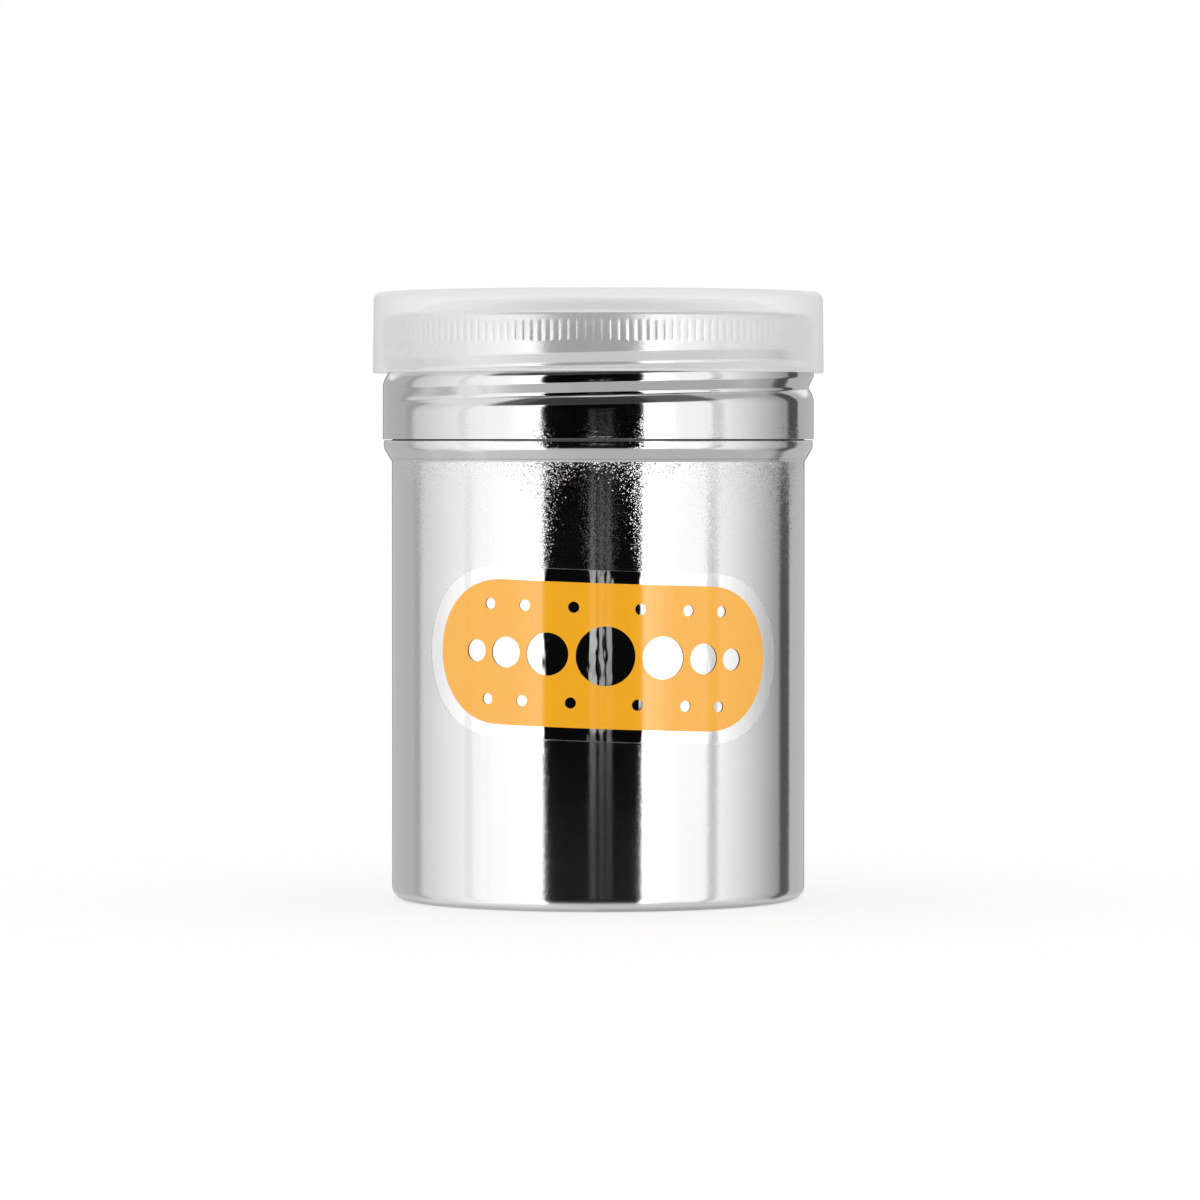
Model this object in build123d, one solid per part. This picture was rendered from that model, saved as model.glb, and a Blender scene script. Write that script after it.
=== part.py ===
from build123d import *
import os
from math import degrees, sin, sqrt

# Stainless spice shaker can: a drawn can with a rolled thread, a screw-on sifter cap,
# a sealing ring between them, a slip-on dust cover and a printed film label.
# Millimetres and degrees. The origin is the centre of the foot ring, +Z is up, -Y is the front.

# Sheet metal
SHEET = 0.5  # thickness of the can's and the cap's sheet
BEND = 0.3  # smallest inside radius of a fold

# Can
CAN_RADIUS = 32.0  # outside of the straight wall
CAN_CORNER = 1.5  # inside radius between wall and foot
BODY_HEIGHT = 67.8  # foot to the start of the bead
FOOT_WIDTH = 4.4  # flat ring that the can stands on, up to the wall
PANEL_RISE = 0.8  # recess of the base panel above the foot
PANEL_STEP = 0.8  # width of the slope round that panel
BEAD_PROUD = 1.25  # bead beyond the wall
BEAD_FLARE = 2.1  # height over which the wall swells out
BEAD_BAND = 1.2  # height of the bead's full width
BEAD_ROUND = 1.0  # inside radius at the top of the swelling
NECK_INSET = 0.15  # neck inside the line of the wall
NECK_HEIGHT = 17.7  # bead to rim

# Rolled thread, right-handed
PITCH = 4.5
FLANK = 2.0  # axial run of a flank for each millimetre of depth
THREAD_TIP = 0.3  # half the width of a ridge's crest
NECK_THREAD_HEIGHT = 0.85  # ridge on the neck
NECK_THREAD_TURNS = 1.15
NECK_THREAD_DROP = 8.3  # rim down to the middle of the ridge's lower end
CAP_THREAD_DEPTH = 0.8  # groove in the skirt
CAP_THREAD_TURNS = 1.4
CAP_THREAD_LEAD = 60.0  # angle by which the cap's groove starts before the neck's ridge
THREAD_GAP = 0.2  # neck ridge to the inside of the skirt
THREAD_FRONT = 0.0  # angle from the front at which the neck's ridge starts

# Sealing ring
SEAL_THICKNESS = 1.4
SEAL_REACH = 1.0  # ring inside the neck's bore
SEAL_CLEARANCE = 0.1  # ring to the bend inside the cap

# Sifter cap
SKIRT_GAP = 0.3  # bead to the skirt's edge
CAP_BEND = 0.4  # inside radius between skirt and top
SHOULDER = 4.65  # flat ring round the raised disc, in from the skirt's outside
DISC_RISE = 2.0
DISC_SLOPE = 4.75  # width of the slope round the raised disc
DISC_ROUND = 8.0  # inside radius between the disc and its slope
DISC_FOOT = 1.0  # inside radius between the slope and the shoulder
HOLE_DIAMETER = 1.5
HOLE_STEP = 4.5  # from one ring of holes to the next
HOLE_RINGS = 4
HOLES_PER_RING = 6  # how many more holes each ring has than the last
KNURL_COUNT = 158
KNURL_LENGTH = 3.3
KNURL_DROP = 1.4  # top of the cap to the top of the knurl
KNURL_DEPTH = 0.1
KNURL_CUTTER = 0.3  # radius of the round nose that presses each dent

# Dust cover
COVER_WALL = 1.0
COVER_GAP = 0.55  # cap to the inside of the cover's rim
COVER_REST = 0.3  # raised disc to the inside of the cover's top
COVER_HEIGHT = 12.5
COVER_CORNER = 0.2  # inside radius between wall and top
COVER_DRAFT = 0.15  # how much the wall leans in from rim to top

# Label: clear film with printed ink on it, as it lies before it is wrapped round the can
FILM_LENGTH = 60.9
FILM_WIDTH = 25.8
FILM_THICKNESS = 0.1
PRINT_LENGTH = 55.1
PRINT_WIDTH = 21.9
PRINT_THICKNESS = 0.05
LABEL_HEIGHT = 38.65  # foot to the middle of the label
LABEL_TURN = 2.0  # middle of the label round from the front
LABEL_TILT = -2.0
DOT_DIAMETER = 9.0  # middle one of the row of bare dots
DOT_RATIO = 0.72  # each dot to the next larger one
DOTS_EACH_SIDE = 3
DOT_SPACING = 1.1  # ink between two dots of the row
SPECK_DIAMETER = 1.7  # bare specks above and below the row
SPECK_OFFSET = 7.2  # row to specks
OUTLINE_STEPS = 8  # spans of a curve through each edge of the wrapped outline

# Worked out from the sizes above
BEAD_RADIUS = CAN_RADIUS + BEAD_PROUD
BEAD_TOP = BODY_HEIGHT + BEAD_FLARE + BEAD_BAND
NECK_RADIUS = CAN_RADIUS - NECK_INSET
RIM = BEAD_TOP + NECK_HEIGHT
CAP_BORE = NECK_RADIUS + NECK_THREAD_HEIGHT + THREAD_GAP
CAP_RADIUS = CAP_BORE + SHEET
SKIRT_EDGE = BEAD_TOP + SKIRT_GAP
CAP_TOP = RIM + SEAL_THICKNESS + SHEET
SHOULDER_RADIUS = CAP_RADIUS - SHOULDER
DISC_TOP = CAP_TOP + DISC_RISE
COVER_TOP = DISC_TOP + COVER_REST + COVER_WALL
COVER_RIM = COVER_TOP - COVER_HEIGHT
COVER_RADIUS = CAP_RADIUS + COVER_GAP + COVER_WALL
THREAD_START = RIM - NECK_THREAD_DROP
THREAD_TIP_BACK = THREAD_TIP - SHEET * (sqrt(1 + FLANK**2) - FLANK)


def sheet_section(points, folds, thickness, inside):
    """Section of a folded sheet. The points run along its outer face, and inside is the side of that
    line which the sheet lies on, 1 for left and -1 for right. Each fold has its smaller radius."""
    outer = [Vector(*point) for point in points]
    ways = [(end - start).normalized() for start, end in zip(outer, outer[1:])]
    normals = [Vector(-way.Y, way.X) * inside for way in ways]
    inner = [outer[0] + normals[0] * thickness]
    outer_radii = []
    inner_radii = []
    for corner, before, after, fold in zip(outer[1:], normals, normals[1:], folds):
        inner.append(corner + (before + after) * (thickness / (1 + before.dot(after))))
        turns_in = before.cross(after).Z * inside > 0
        outer_radii.append(fold + thickness if turns_in else fold)
        inner_radii.append(fold if turns_in else fold + thickness)
    inner.append(outer[-1] + normals[-1] * thickness)
    edges = FilletPolyline(*outer, radius=outer_radii).edges()
    edges += FilletPolyline(*inner, radius=inner_radii).edges()
    edges += [Line(outer[0], inner[0]).edge(), Line(outer[-1], inner[-1]).edge()]
    return make_face(edges)


def turned(section):
    """A section in radius and height, turned about Z."""
    return revolve(Plane.XZ * section, Axis.Z)


def thread_form(tip_radius, tip_half, root_radius, turns, angle, height):
    """A helical form that narrows from its root to its crest: its run and its two round ends."""
    run = root_radius - tip_radius
    root_half = tip_half + FLANK * abs(run)
    helix = Helix(PITCH, PITCH * turns, tip_radius)
    half = Polyline((0, 0), (run, 0), (run, root_half), (0, tip_half), close=True)
    whole = Polyline((0, -tip_half), (run, -root_half), (run, root_half), (0, tip_half), close=True)
    nose = revolve(make_face(half), Axis.X, 180)
    end = helix @ 1
    first = Plane(helix @ 0, x_dir=(1, 0, 0), z_dir=helix % 0)
    last = Plane(end, x_dir=(end.X, end.Y, 0), z_dir=helix % 1)
    place = Pos(0, 0, height) * Rotation(0, 0, angle - 90)
    return [
        place * sweep(first * make_face(whole), path=helix, is_frenet=True),
        place * (first * (Rotation(180, 0, 0) * nose)),
        place * (last * nose),
    ]


def rolled_thread(wall, outside, height, turns, angle, start):
    """The wall with a thread rolled into it: outward where the height is positive, inward below 0."""
    inside = outside - SHEET
    middle = outside - SHEET / 2
    if height > 0:
        ridge = thread_form(outside + height, THREAD_TIP, middle, turns, angle, start)
        groove = thread_form(inside + height, THREAD_TIP_BACK, inside - SHEET, turns, angle, start)
    else:
        ridge = thread_form(inside + height, THREAD_TIP, middle, turns, angle, start)
        groove = thread_form(outside + height, THREAD_TIP_BACK, outside + SHEET, turns, angle, start)
    for piece in ridge:
        wall += piece
    for piece in groove:
        wall -= piece
    return wall


def can_body():
    """Drawn can: recessed base, straight wall, bead and threaded neck, open at the top."""
    panel = CAN_RADIUS - FOOT_WIDTH - PANEL_STEP
    outline = [
        (0, PANEL_RISE),
        (panel, PANEL_RISE),
        (panel + PANEL_STEP, 0),
        (CAN_RADIUS, 0),
        (CAN_RADIUS, BODY_HEIGHT),
        (BEAD_RADIUS, BODY_HEIGHT + BEAD_FLARE),
        (BEAD_RADIUS, BEAD_TOP),
        (NECK_RADIUS, BEAD_TOP),
        (NECK_RADIUS, RIM),
    ]
    folds = [BEND, BEND, CAN_CORNER, BEND, BEAD_ROUND, BEND, BEND]
    return rolled_thread(
        turned(sheet_section(outline, folds, SHEET, 1)),
        NECK_RADIUS,
        NECK_THREAD_HEIGHT,
        NECK_THREAD_TURNS,
        THREAD_FRONT,
        THREAD_START,
    )


def cap_seal():
    """Flat ring between the neck's rim and the cap's shoulder."""
    outer = CAP_BORE - CAP_BEND - SEAL_CLEARANCE
    inner = NECK_RADIUS - SHEET - SEAL_REACH
    ring = Plane.XY.offset(RIM) * (Circle(outer) - Circle(inner))
    return extrude(ring, SEAL_THICKNESS)


def sifter_holes():
    """Rings of round holes through the raised disc."""
    drill = Pos(0, 0, DISC_TOP) * Cylinder(HOLE_DIAMETER / 2, 4 * SHEET)
    holes = [drill]
    for ring in range(1, HOLE_RINGS + 1):
        places = PolarLocations(ring * HOLE_STEP, ring * HOLES_PER_RING)
        holes += [place * drill for place in places]
    return holes


def knurl_dents():
    """Upright dents round the top of the skirt."""
    axis_radius = CAP_RADIUS + KNURL_CUTTER - KNURL_DEPTH
    nose = Pos(0, 0, CAP_TOP - KNURL_DROP - KNURL_LENGTH / 2) * Cylinder(KNURL_CUTTER, KNURL_LENGTH)
    return [place * nose for place in PolarLocations(axis_radius, KNURL_COUNT)]


def shaker_cap():
    """Screw cap: perforated raised disc, flat shoulder, knurl and a skirt with the rolled groove."""
    outline = [
        (0, DISC_TOP),
        (SHOULDER_RADIUS - DISC_SLOPE, DISC_TOP),
        (SHOULDER_RADIUS, CAP_TOP),
        (CAP_RADIUS, CAP_TOP),
        (CAP_RADIUS, SKIRT_EDGE),
    ]
    below = THREAD_START - PITCH / 2 - PITCH * CAP_THREAD_LEAD / 360
    cap = rolled_thread(
        turned(sheet_section(outline, [DISC_ROUND, DISC_FOOT, CAP_BEND], SHEET, -1)),
        CAP_RADIUS,
        -CAP_THREAD_DEPTH,
        CAP_THREAD_TURNS,
        THREAD_FRONT - CAP_THREAD_LEAD,
        below,
    )
    return cap - knurl_dents() - sifter_holes()


def dust_cover():
    """Shallow cover that slips over the cap."""
    outline = [
        (0, COVER_TOP),
        (COVER_RADIUS - COVER_DRAFT, COVER_TOP),
        (COVER_RADIUS, COVER_RIM),
    ]
    return turned(sheet_section(outline, [COVER_CORNER], COVER_WALL, -1))


def on_can(part):
    """Moves what was made at the front, at height 0, to the label's place."""
    return Pos(0, 0, LABEL_HEIGHT) * Rotation(0, 0, LABEL_TURN) * part


def wrapped_slot(length, width, radius, thickness):
    """A skin with the outline of a tilted slot that has been wrapped round a cylinder."""
    samples = [step / OUTLINE_STEPS for step in range(OUTLINE_STEPS + 1)]
    flat = Rotation(0, 0, LABEL_TILT) * SlotOverall(length, width)
    edges = []
    for edge in flat.edges():
        points = [edge @ at for at in samples]
        edges += Spline(*[(radius * sin(p.X / radius), p.Y) for p in points]).edges()
    ring = Cylinder(radius + thickness, 2 * width) - Cylinder(radius, 2 * width)
    return ring & extrude(Plane.XZ * make_face(edges), 2 * radius, dir=(0, -1, 0))


def bare_dot(along, up, diameter, radius):
    """A round cutter that points at the can's axis, at a place given on the flat label."""
    place = Rotation(0, 0, LABEL_TILT) * Pos(along, up)
    at = place.position
    turn = Rotation(0, 0, degrees(at.X / radius))
    return turn * Pos(0, -radius, at.Y) * Rotation(90, 0, 0) * Cylinder(diameter / 2, SHEET)


def label_film():
    """Clear film on the can's wall."""
    return on_can(wrapped_slot(FILM_LENGTH, FILM_WIDTH, CAN_RADIUS, FILM_THICKNESS))


def label_print():
    """Printed ink on the film, left bare in a row of dots with specks above and below."""
    radius = CAN_RADIUS + FILM_THICKNESS
    ink = wrapped_slot(PRINT_LENGTH, PRINT_WIDTH, radius, PRINT_THICKNESS)
    cuts = [bare_dot(0, 0, DOT_DIAMETER, radius)]
    along = 0
    size = DOT_DIAMETER
    for _ in range(DOTS_EACH_SIDE):
        smaller = DOT_RATIO * size
        gap = along + (size + DOT_SPACING) / 2
        along += (size + smaller) / 2 + DOT_SPACING
        for side in (-1, 1):
            cuts.append(bare_dot(side * along, 0, smaller, radius))
            for up in (-SPECK_OFFSET, SPECK_OFFSET):
                cuts.append(bare_dot(side * gap, up, SPECK_DIAMETER, radius))
        size = smaller
    return on_can(ink - cuts)


PARTS = {
    "can_body": can_body,
    "cap_seal": cap_seal,
    "shaker_cap": shaker_cap,
    "dust_cover": dust_cover,
    "label_film": label_film,
    "label_print": label_print,
}

os.makedirs("parts", exist_ok=True)
for name, make in PARTS.items():
    export_step(make(), f"parts/{name}.step")
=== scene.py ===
import math
import bpy
import numpy as np
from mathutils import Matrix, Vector
from mathutils.geometry import delaunay_2d_cdt


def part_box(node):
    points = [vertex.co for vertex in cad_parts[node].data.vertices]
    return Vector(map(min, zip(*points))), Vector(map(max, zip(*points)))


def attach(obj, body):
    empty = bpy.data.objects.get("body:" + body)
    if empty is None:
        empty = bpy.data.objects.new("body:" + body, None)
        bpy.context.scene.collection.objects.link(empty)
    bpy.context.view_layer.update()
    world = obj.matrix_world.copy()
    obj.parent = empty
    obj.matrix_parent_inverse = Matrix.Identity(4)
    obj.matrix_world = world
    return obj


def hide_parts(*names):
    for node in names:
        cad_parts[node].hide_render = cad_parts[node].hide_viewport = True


# A stainless spice shaker can: brushed can with a rolled bead and thread, polished screw cap with a
# perforated disc, sealing ring, milky slip-on cover and a clear label with orange ink. Sizes are in
# millimetres and degrees. Angles run round +Z from the front, which is -Y, towards +X.

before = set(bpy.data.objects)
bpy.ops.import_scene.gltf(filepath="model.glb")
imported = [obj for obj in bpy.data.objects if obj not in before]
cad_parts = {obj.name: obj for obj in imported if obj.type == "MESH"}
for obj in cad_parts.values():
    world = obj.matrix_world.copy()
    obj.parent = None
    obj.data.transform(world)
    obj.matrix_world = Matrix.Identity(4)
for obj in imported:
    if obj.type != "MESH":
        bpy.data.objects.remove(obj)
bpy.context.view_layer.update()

MM = 0.001
# Lowest and highest corner of each turned piece
CAN_BOX = [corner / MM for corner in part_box("can_body")]
CAP_BOX = [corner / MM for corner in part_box("shaker_cap")]
COVER_BOX = [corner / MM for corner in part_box("dust_cover")]

# Sheet metal
SHEET = 0.5
BEND = 0.3
SHEET_EDGE = 0.1  # rounding of a cut edge

# Can
CAN_RADIUS = 32.0
CAN_CORNER = 1.5
BODY_HEIGHT = 67.8
FOOT_WIDTH = 4.4
PANEL_RISE = 0.8
PANEL_STEP = 0.8
BEAD_RADIUS = CAN_BOX[1].x
BEAD_FLARE = 2.1
BEAD_BAND = 1.2
BEAD_ROUND = 1.0
BEAD_FOLD = -0.25  # crushed: sharp inside, and tighter than the sheet's thickness outside
BEAD_TOP = BODY_HEIGHT + BEAD_FLARE + BEAD_BAND
NECK_RADIUS = CAN_RADIUS - 0.15
RIM = CAN_BOX[1].z

# Rolled thread
PITCH = 4.5
THREAD_FADE = (-15.0, 10.0)  # angles about each end over which the thread dies away
# Height of the lower end, angle of that end, turns, half the crest, run of the flanks above and
# below, and the shares of each flank that are rounded at its foot and at the crest
NECK_THREAD = {
    "low": RIM - 8.3,
    "start": 0.0,
    "turns": 1.15,
    "crest": 0.3,
    "above": (1.65, 0.14, 0.14),
    "below": (1.65, 0.14, 0.14),
}
NECK_THREAD_HEIGHT = 0.85
CAP_THREAD = {
    "low": RIM - 11.45,
    "start": -60.0,
    "turns": 1.4,
    "crest": 0.1,
    "above": (1.78, 0.1, 0.12),
    "below": (2.1, 0.92, 0.06),
}
CAP_THREAD_DEPTH = 0.8

# Sifter cap
CAP_RADIUS = CAP_BOX[1].x
CAP_BORE = CAP_RADIUS - SHEET
CAP_BEND = 0.4
SKIRT_EDGE = CAP_BOX[0].z - 0.15
DISC_TOP = CAP_BOX[1].z
DISC_RISE = 2.0
DISC_SLOPE = 4.75  # width of the slope round the raised disc
DISC_ROUND = 8.0
DISC_FOOT = 1.0
SHOULDER_RADIUS = CAP_RADIUS - 4.65
CAP_TOP = DISC_TOP - DISC_RISE
HOLE_RADIUS = 0.75
HOLE_STEP = 4.5
HOLE_RINGS = 4
HOLES_PER_RING = 6
HOLE_LIP = 0.14  # width and depth of the punched lip
SKIRT_BAND = 1.0  # plain edge of the skirt, below the groove
KNURL_COUNT = 158
KNURL_START = 90.0  # angle of the first dent
KNURL_LENGTH = 3.3
KNURL_HIGH = CAP_TOP - 1.4
KNURL_LOW = KNURL_HIGH - KNURL_LENGTH
KNURL_DEPTH = 0.03
KNURL_CUTTER = 0.3  # radius of the wheel's teeth
KNURL_END = 0.4  # length over which a dent ends

# Slip-on cover
COVER_RADIUS = COVER_BOX[1].x
COVER_RIM = COVER_BOX[0].z
COVER_TOP = COVER_BOX[1].z
COVER_WALL = 1.0
COVER_CORNER = 0.2
COVER_DRAFT = 0.15
COVER_EDGE = 0.3

# Label
FILM_LENGTH = 60.9
FILM_WIDTH = 25.8
FILM_THICKNESS = 0.1
PRINT_LENGTH = 55.1
PRINT_WIDTH = 21.9
PRINT_THICKNESS = 0.05
STICKER_GAP = 0.02  # skin of glue under each layer
LABEL_HEIGHT = 38.65
LABEL_TURN = 2.0
LABEL_TILT = -2.0
DOT_DIAMETER = 9.0
DOT_RATIO = 0.72
DOTS_EACH_SIDE = 3
DOT_SPACING = 1.1
SPECK_DIAMETER = 1.7
SPECK_OFFSET = 7.2

# Camera
CAMERA_PLACE = (0.27, -978.0, 71.1)
CAMERA_TARGET = (0.27, 0.0, 46.3)
CAMERA_LENS = 189.0
SENSOR = 36.0

# Fineness of the meshes
SAME = 1e-4  # lengths that differ by less are the same
NEAR = 0.01  # how near a point is to the face or height that it belongs to
WELD = 1e-6  # points of a filled outline that lie closer than this are joined
ARC_STEP = 12.0  # largest angle between the points of a rounded corner
COLUMNS = 2 * KNURL_COUNT  # round a piece, and three times as many along the knurl
SUPPORT = 0.35  # distance of an extra row from the end of a straight run
THREAD_ROWS = (0.12, 0.4)  # distance between rows of a thread, outside and inside
THREAD_STOP = KNURL_LOW - 0.1  # height up to which the groove has such rows
KNURL_ROWS = (0.0, 0.03, 0.1, 0.2, KNURL_END)  # distances of a dent's rows from its end
KNURL_MIDDLE = 0.55  # where a dent has a column between its middle and its edge
HOLE_SIDES = 20
# Radius and depth of the rows of a hole's wall
HOLE_ROWS = [
    (HOLE_RADIUS + 0.3 * HOLE_LIP, 0.25 * HOLE_LIP),
    (HOLE_RADIUS, HOLE_LIP),
    (HOLE_RADIUS, SHEET),
]
DISC_SPOKES = 7  # points round the first ring of the grid between the holes
DISC_MARGIN = 0.5  # from the holes to that grid
LABEL_GRID = 1.2
LABEL_MARGIN = 0.35  # from the edges of the label to the grid inside it
LABEL_ENDS = 48  # sides of each round end of the label
DOT_SIDES = (18, 10)  # sides of a dot, and how many more for each millimetre of its radius
SHARP_ANGLE = 40.0  # edges that turn by more stay sharp


# ---- Outlines -------------------------------------------------------------------------------


def rounded(corners, radii):
    """A line of corners in radius and height, with each corner between its ends rounded off."""
    corners = [Vector(corner) for corner in corners]
    line = [corners[0]]
    for before, corner, after, radius in zip(corners, corners[1:], corners[2:], radii):
        if radius == 0:
            line.append(corner)
            continue
        back = (before - corner).normalized()
        onward = (after - corner).normalized()
        half = back.angle(onward) / 2
        centre = corner + (back + onward).normalized() * (radius / math.sin(half))
        spoke = corner + back * (radius / math.tan(half)) - centre
        turn = (math.pi - 2 * half) * (1 if back.cross(onward) < 0 else -1)
        steps = max(2, math.ceil(abs(math.degrees(turn)) / ARC_STEP))
        for step in range(steps + 1):
            c, s = math.cos(turn * step / steps), math.sin(turn * step / steps)
            line.append(centre + Vector((c * spoke.x - s * spoke.y, s * spoke.x + c * spoke.y)))
    line.append(corners[-1])
    return line


def supported(line):
    """The line with extra points close to the ends of its longer straight runs."""
    out = [line[0]]
    for start, end in zip(line, line[1:]):
        run = end - start
        if run.length > 3 * SUPPORT:
            way = run.normalized() * SUPPORT
            out += [start + way, end - way]
        out.append(end)
    return out


def stepped(line, low, high, radius):
    """The line with extra points where it runs upright between two heights: close ones on the
    side of the sheet that shows, which is outside this radius, and wider ones inside it."""
    out = [line[0]]
    for start, end in zip(line, line[1:]):
        if abs(end.x - start.x) < SAME:
            step = THREAD_ROWS[0 if start.x > radius else 1]
            bottom, top = max(low, min(start.y, end.y)), min(high, max(start.y, end.y))
            if top - bottom > step:
                heights = np.linspace(bottom, top, math.ceil((top - bottom) / step) + 1)
                inner = [h for h in heights if min(abs(h - start.y), abs(h - end.y)) > SAME]
                out += [Vector((start.x, h)) for h in (inner if end.y > start.y else inner[::-1])]
        out.append(end)
    return out


def inserted(line, heights, radius):
    """The line with a point at each of these heights where it runs upwards at this radius."""
    out = [line[0]]
    for start, end in zip(line, line[1:]):
        if max(abs(start.x - radius), abs(end.x - radius)) < SAME and end.y > start.y:
            out += [Vector((radius, h)) for h in heights if start.y + SAME < h < end.y - SAME]
        out.append(end)
    return out


def sheet_loop(corners, folds, inside):
    """The outer face of a folded sheet, its cut edge and its inner face, as one rounded line.
    Inside is the side of the corners' line on which the sheet lies, 1 for left and -1 for right."""
    outer = [Vector(corner) for corner in corners]
    ways = [(end - start).normalized() for start, end in zip(outer, outer[1:])]
    normals = [Vector((-way.y, way.x)) * inside for way in ways]
    inner = [outer[0] + normals[0] * SHEET]
    outer_radii, inner_radii = [], []
    for corner, before, after, fold in zip(outer[1:], normals, normals[1:], folds):
        inner.append(corner + (before + after) * (SHEET / (1 + before.dot(after))))
        turns_in = before.cross(after) * inside > 0
        outer_radii.append(fold + SHEET if turns_in else fold)
        inner_radii.append(max(fold, 0) if turns_in else fold + SHEET)
    inner.append(outer[-1] + normals[-1] * SHEET)
    radii = outer_radii + [SHEET_EDGE, SHEET_EDGE] + inner_radii[::-1]
    return rounded(outer + inner[::-1], radii)


def smooth_step(value, low, high):
    """0 below low and 1 above high, with a smooth rise between them."""
    share = np.clip((value - low) / (high - low), 0, 1)
    return share * share * (3 - 2 * share)


def thread_share(angles, height, thread):
    """Share of a rolled thread's full height at these angles, in degrees, of one height."""
    best = np.zeros_like(angles)
    for lap in range(-1, math.ceil(thread["turns"]) + 1):
        along = angles + 360 * lap - thread["start"]
        off = height - thread["low"] - PITCH * along / 360
        run, foot, top = np.where(off[:, None] > 0, thread["above"], thread["below"]).T
        x = np.clip((thread["crest"] + run - np.abs(off)) / run, 0, 1)
        slope = 2 / (2 - foot - top)
        low, high = slope * x * x / (2 * foot), 1 - slope * (1 - x) ** 2 / (2 * top)
        rise = np.where(x < foot, low, np.where(x > 1 - top, high, slope * (x - foot / 2)))
        first = smooth_step(along, *THREAD_FADE)
        last = smooth_step(360 * thread["turns"] - along, *THREAD_FADE)
        best = np.maximum(best, rise * first * last)
    return best


def thread_reach(thread):
    """Lowest and highest height of a thread's flanks."""
    low = thread["low"] - thread["crest"] - thread["below"][0]
    high = thread["low"] + PITCH * thread["turns"] + thread["crest"] + thread["above"][0]
    return low, high


# ---- Meshes ---------------------------------------------------------------------------------


class Shell:
    """The points and faces of one piece."""

    def __init__(self):
        self.points = []
        self.faces = []
        self.materials = []

    def ring(self, points):
        """Adds points and returns their numbers."""
        first = len(self.points)
        self.points += [tuple(point) for point in points]
        return list(range(first, len(self.points)))

    def face(self, corners, material=0):
        self.faces.append(corners)
        self.materials.append(material)

    def bridge(self, near, far, material=0):
        """Faces between two rings. A ring may be one point, or have three times the other's points."""
        if len(near) == len(far):
            for k, a in enumerate(near):
                n = (k + 1) % len(near)
                self.face((a, near[n], far[n], far[k]), material)
        elif len(near) == 1 or len(far) == 1:
            ring, tip = (far, near[0]) if len(near) == 1 else (near, far[0])
            for k, a in enumerate(ring):
                n = (k + 1) % len(ring)
                self.face((tip, ring[n], a) if len(near) == 1 else (a, ring[n], tip), material)
        else:
            coarse, fine = (near, far) if len(near) < len(far) else (far, near)
            for k, a in enumerate(coarse):
                b = coarse[(k + 1) % len(coarse)]
                f = [fine[(3 * k + step) % len(fine)] for step in range(4)]
                for corners in ((a, f[1], f[0]), (a, b, f[2], f[1]), (b, f[3], f[2])):
                    self.face(corners if coarse is near else corners[::-1], material)

    def turned(self, line, columns, offset=None, inner_rows=0):
        """A skin turned about Z along a line. Returns its first and last rings. Its first rows may
        have another material than the rest."""
        rings = []
        for spot, (radius, height) in enumerate(line):
            if radius < SAME:
                rings.append(self.ring([(0, 0, height)]))
                continue
            angles = columns(spot)
            radii = radius + (offset(spot, angles) if offset else np.zeros_like(angles))
            turn = np.radians(angles)
            points = np.column_stack([radii * np.sin(turn), -radii * np.cos(turn)])
            rings.append(self.ring([(x, y, height) for x, y in points]))
        for row, (near, far) in enumerate(zip(rings, rings[1:])):
            self.bridge(near, far, 1 if row < inner_rows else 0)
        return rings[0], rings[-1]


def skin_normals(mesh, kinds):
    """Normals of a skin wrapped round the can, as round as the can itself. Faces of its front, back
    and edge are of kinds 0, 1 and 2."""
    normals = []
    for face, kind in zip(mesh.polygons, kinds):
        for corner in face.vertices:
            x, y, _ = mesh.vertices[corner].co
            out = Vector((x, y, 0)).normalized()
            normals.append((out, -out, face.normal)[kind])
    return normals


def piece(name, shell, materials, body, node, skin=False):
    """Makes a finished object from a shell, which rides on a body and replaces a CAD node."""
    mesh = bpy.data.meshes.new(name)
    mesh.from_pydata([[value * MM for value in point] for point in shell.points], [], shell.faces)
    for material in materials:
        mesh.materials.append(material)
    mesh.polygons.foreach_set("material_index", shell.materials)
    mesh.shade_smooth()
    mesh.set_sharp_from_angle(angle=math.radians(SHARP_ANGLE))
    if skin:
        mesh.normals_split_custom_set(skin_normals(mesh, shell.materials))
    made = bpy.data.objects.new(name, mesh)
    bpy.context.scene.collection.objects.link(made)
    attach(made, body)
    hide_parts(node)


def even_columns(_spot=None):
    """Angles of the columns of a plain turned skin, so that one falls on each knurl dent."""
    return np.arange(COLUMNS) * 360 / COLUMNS + KNURL_START


def can_shell():
    """Drawn can with its recessed base, bead and threaded neck, outside and inside."""
    panel = CAN_RADIUS - FOOT_WIDTH - PANEL_STEP
    corners = [
        (0, PANEL_RISE),
        (panel, PANEL_RISE),
        (panel + PANEL_STEP, 0),
        (CAN_RADIUS, 0),
        (CAN_RADIUS, BODY_HEIGHT),
        (BEAD_RADIUS, BODY_HEIGHT + BEAD_FLARE),
        (BEAD_RADIUS, BEAD_TOP),
        (NECK_RADIUS, BEAD_TOP),
        (NECK_RADIUS, RIM),
    ]
    folds = [BEND, BEND, CAN_CORNER, BEND, BEAD_ROUND, BEAD_FOLD, BEND]
    line = supported(sheet_loop(corners, folds, 1))
    line = stepped(line, *thread_reach(NECK_THREAD), NECK_RADIUS - SHEET / 2)

    def ridge(spot, angles):
        height = line[spot].y
        if height < BEAD_TOP:
            return np.zeros_like(angles)
        return NECK_THREAD_HEIGHT * thread_share(angles, height, NECK_THREAD)

    shell = Shell()
    shell.turned(line, even_columns, ridge)
    return shell


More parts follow.
